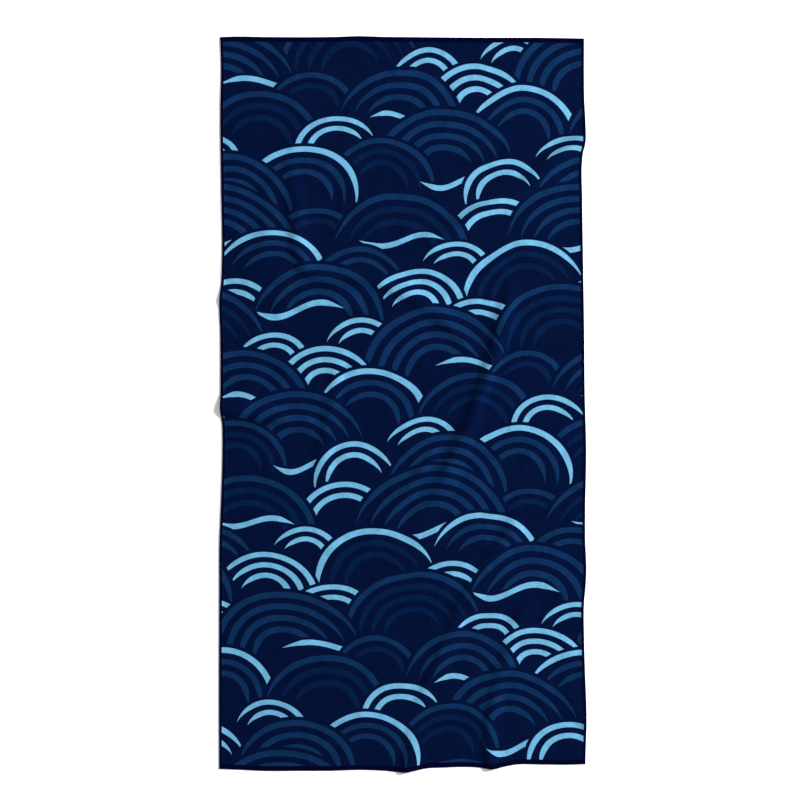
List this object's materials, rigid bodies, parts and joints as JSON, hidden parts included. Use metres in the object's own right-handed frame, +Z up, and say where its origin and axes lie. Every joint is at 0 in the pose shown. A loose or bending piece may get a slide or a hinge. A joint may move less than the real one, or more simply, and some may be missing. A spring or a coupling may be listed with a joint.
{
  "type": "beach towel",
  "caption": "Rectangular beach towel in thin smooth microfibre with narrow turned hems, lying flat with its printed face up and a dozen low soft ridges.",
  "frame": {"origin": "centre of the towel's bounding box at its underside, on the surface it lies on", "axes": "+X across the towel's width, +Y along its length towards its top end, +Z up out of its printed face"},
  "size_m": [0.8048, 1.6134, 0.0108],
  "materials": {
    "printed_microfibre": "matt, smooth brushed microfibre with a fine weave",
    "hem_thread": "dark navy polyester sewing thread with a slight sheen"
  },
  "bodies": {
    "root": {"towel_cloth": "printed_microfibre"}
  },
  "joints": []
}
